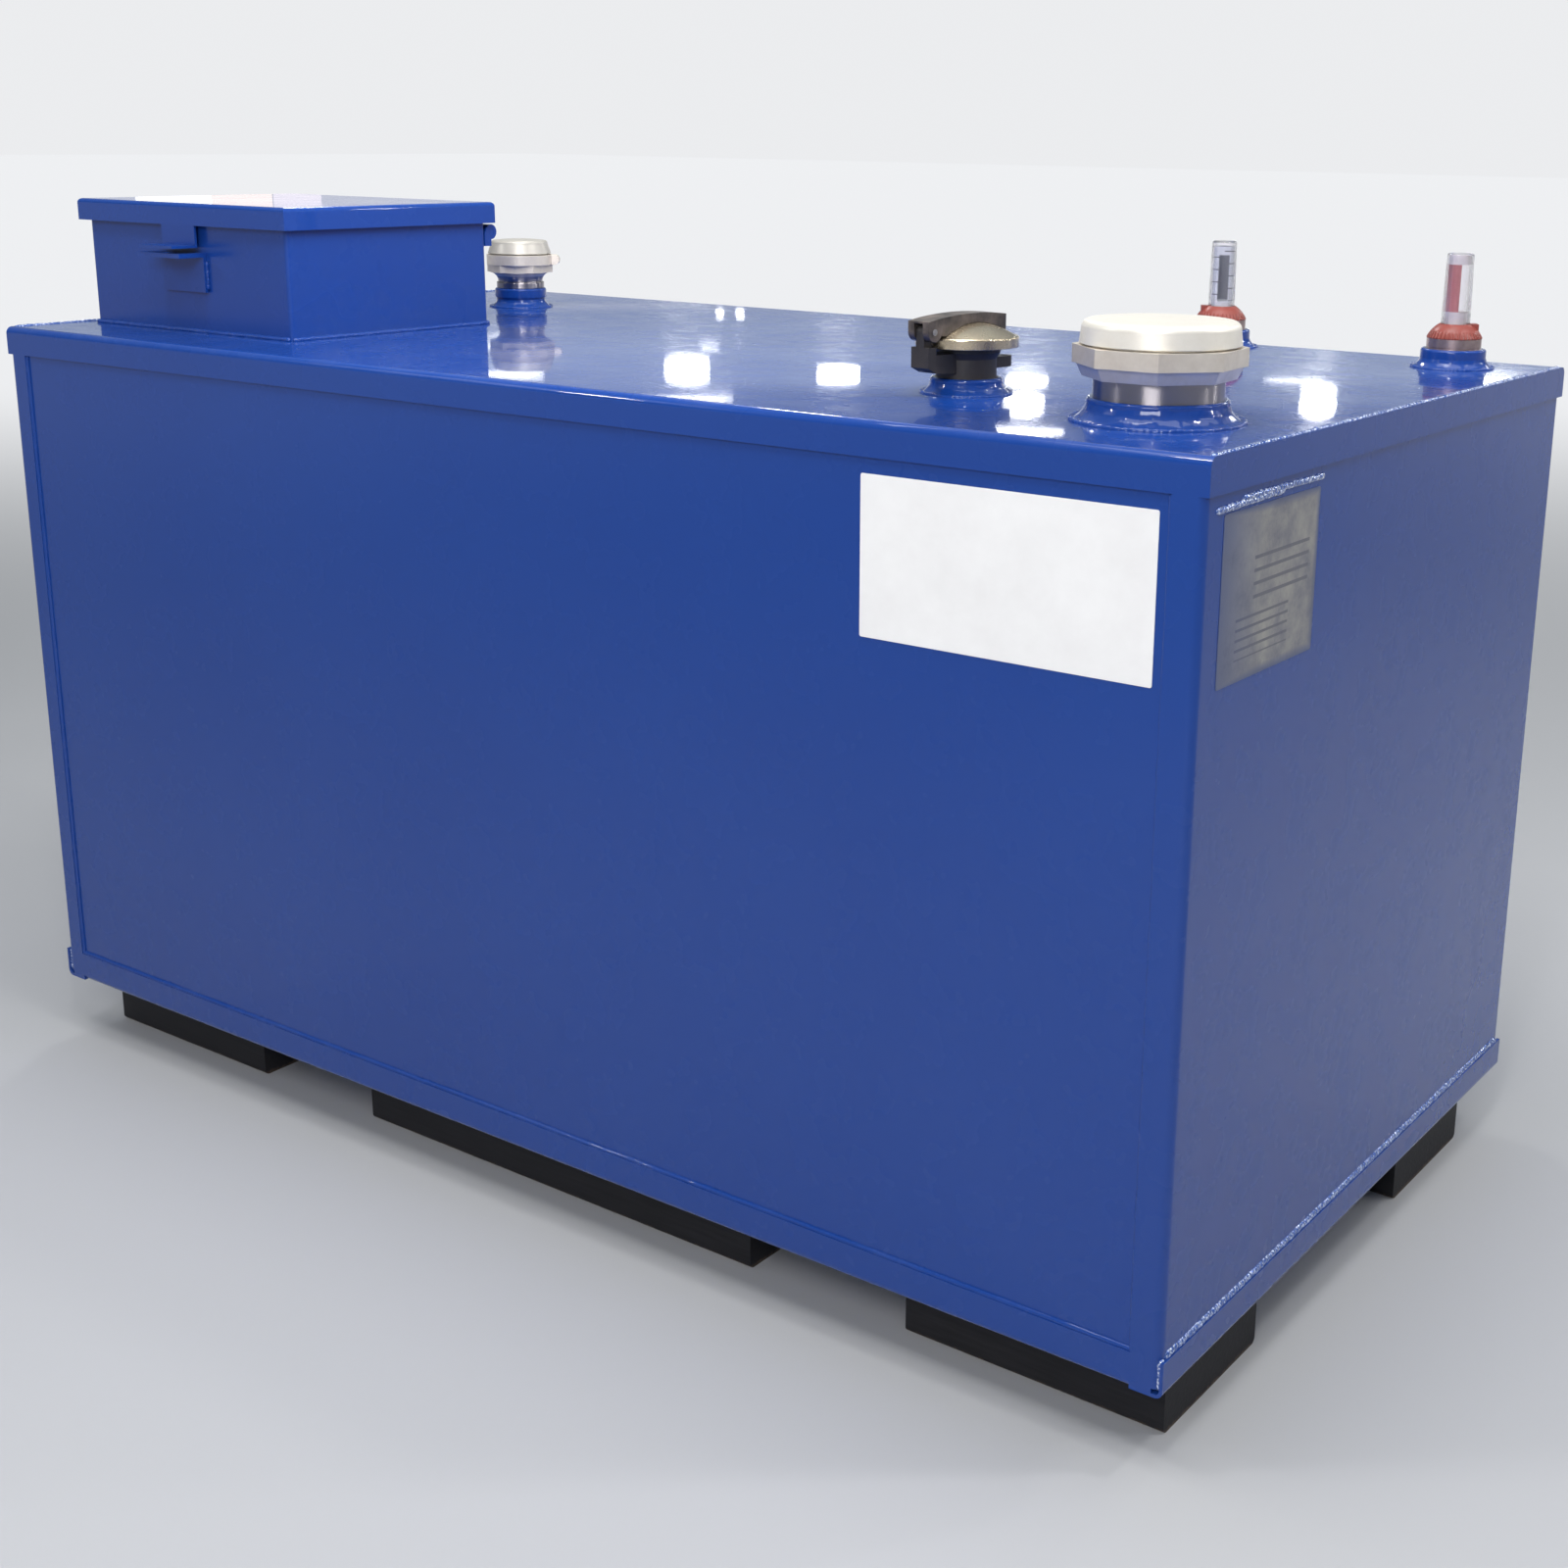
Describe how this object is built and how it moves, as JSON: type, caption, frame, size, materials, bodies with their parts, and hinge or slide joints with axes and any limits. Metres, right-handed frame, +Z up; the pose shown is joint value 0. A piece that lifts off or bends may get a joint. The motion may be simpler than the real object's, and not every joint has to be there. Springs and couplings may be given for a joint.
{
  "type": "waste oil tank",
  "caption": "Blue double-wall steel waste oil tank on black skids, with a hinged spill box, emergency vents, a locking fill cap and clear gauges.",
  "frame": {"origin": "on the floor under the middle of the tank", "axes": "+X along the tank's length to the end with the large vent, +Y from the front to the back, +Z up"},
  "size_m": [1.59, 0.84, 1.0503],
  "materials": {
    "blue_paint": "gloss enamel",
    "black_paint": "satin black enamel",
    "zinc": "plated, satin",
    "brass": "cast, satin",
    "black_iron": "cast, black",
    "galvanised": "plated, dull",
    "pin_steel": "bright",
    "red_plastic": "moulded",
    "clear_plastic": "clear plastic",
    "scale_card": "printed card",
    "float_plastic": "moulded"
  },
  "bodies": {
    "tank": {"top_deck": "blue_paint", "front_wall": "blue_paint", "back_wall": "blue_paint", "left_end_wall": "blue_paint", "right_end_wall": "blue_paint", "bottom_pan": "blue_paint", "front_left_skid": "black_paint", "front_middle_skid": "black_paint", "front_right_skid": "black_paint", "back_left_skid": "black_paint", "back_middle_skid": "black_paint", "back_right_skid": "black_paint", "spill_box": "blue_paint", "lock_bracket": "blue_paint", "fixed_hinge_knuckles": "blue_paint", "lid_hinge_pin": "pin_steel", "box_fill_neck": "blue_paint", "box_fill_plug": "black_iron", "small_vent_coupling": "blue_paint", "small_vent_body": "zinc", "large_vent_coupling": "blue_paint", "large_vent_body": "zinc", "fill_coupling": "blue_paint", "fill_cap_body": "black_iron", "fill_cap_pin": "pin_steel", "level_gauge_bung": "blue_paint", "level_gauge_fitting": "galvanised", "level_gauge_collar": "red_plastic", "level_gauge_tube": "clear_plastic", "level_gauge_scale": "scale_card", "leak_gauge_bung": "blue_paint", "leak_gauge_fitting": "galvanised", "leak_gauge_collar": "red_plastic", "leak_gauge_tube": "clear_plastic", "leak_gauge_float": "float_plastic"},
    "box_lid": {"spill_box_lid": "blue_paint", "lid_hasp": "blue_paint", "moving_hinge_knuckles": "blue_paint"},
    "small_vent_lid": {"small_vent_cover": "zinc"},
    "large_vent_lid": {"large_vent_cover": "zinc"},
    "fill_cap_lever": {"fill_cap_cover": "brass", "fill_cap_arm": "black_iron"}
  },
  "joints": [
    {"name": "lid_hinge", "type": "hinge", "parent": "tank", "child": "box_lid", "pos_m": [-0.59, 0.0025, 1.0143], "axis": [-1, 0, 0], "range_deg": [0, 160]},
    {"name": "small_vent_lift", "type": "slide", "parent": "tank", "child": "small_vent_lid", "axis": [0, 0, 1], "range_m": [0, 0.018]},
    {"name": "large_vent_lift", "type": "slide", "parent": "tank", "child": "large_vent_lid", "axis": [0, 0, 1], "range_m": [0, 0.025]},
    {"name": "fill_cap_hinge", "type": "hinge", "parent": "tank", "child": "fill_cap_lever", "pos_m": [0.41593, -0.25729, 0.963], "axis": [0.9877, -0.1564, 0], "range_deg": [0, 95]}
  ]
}
